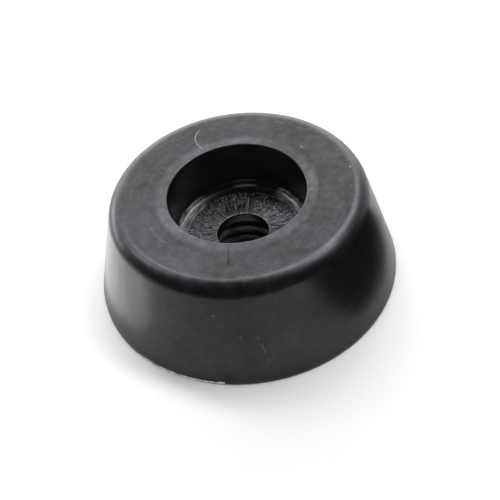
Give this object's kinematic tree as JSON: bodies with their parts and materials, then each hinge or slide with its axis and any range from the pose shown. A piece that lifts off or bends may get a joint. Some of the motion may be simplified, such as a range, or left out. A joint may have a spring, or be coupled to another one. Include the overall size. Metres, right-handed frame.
{
  "type": "rubber foot",
  "caption": "Tapered round rubber foot with a flat base, a deep recess for the screw head in its narrow face and a ribbed fixing hole.",
  "frame": {"origin": "centre of the base, on the hole's axis", "axes": "+Z along the hole, from the wide base to the narrow recessed face; the foot is turned about Z"},
  "size_m": [0.038, 0.038, 0.0135],
  "materials": {
    "rubber": "matt black moulded rubber, glossier at a glancing angle and on the seat"
  },
  "bodies": {
    "root": {"foot": "rubber"}
  },
  "joints": []
}
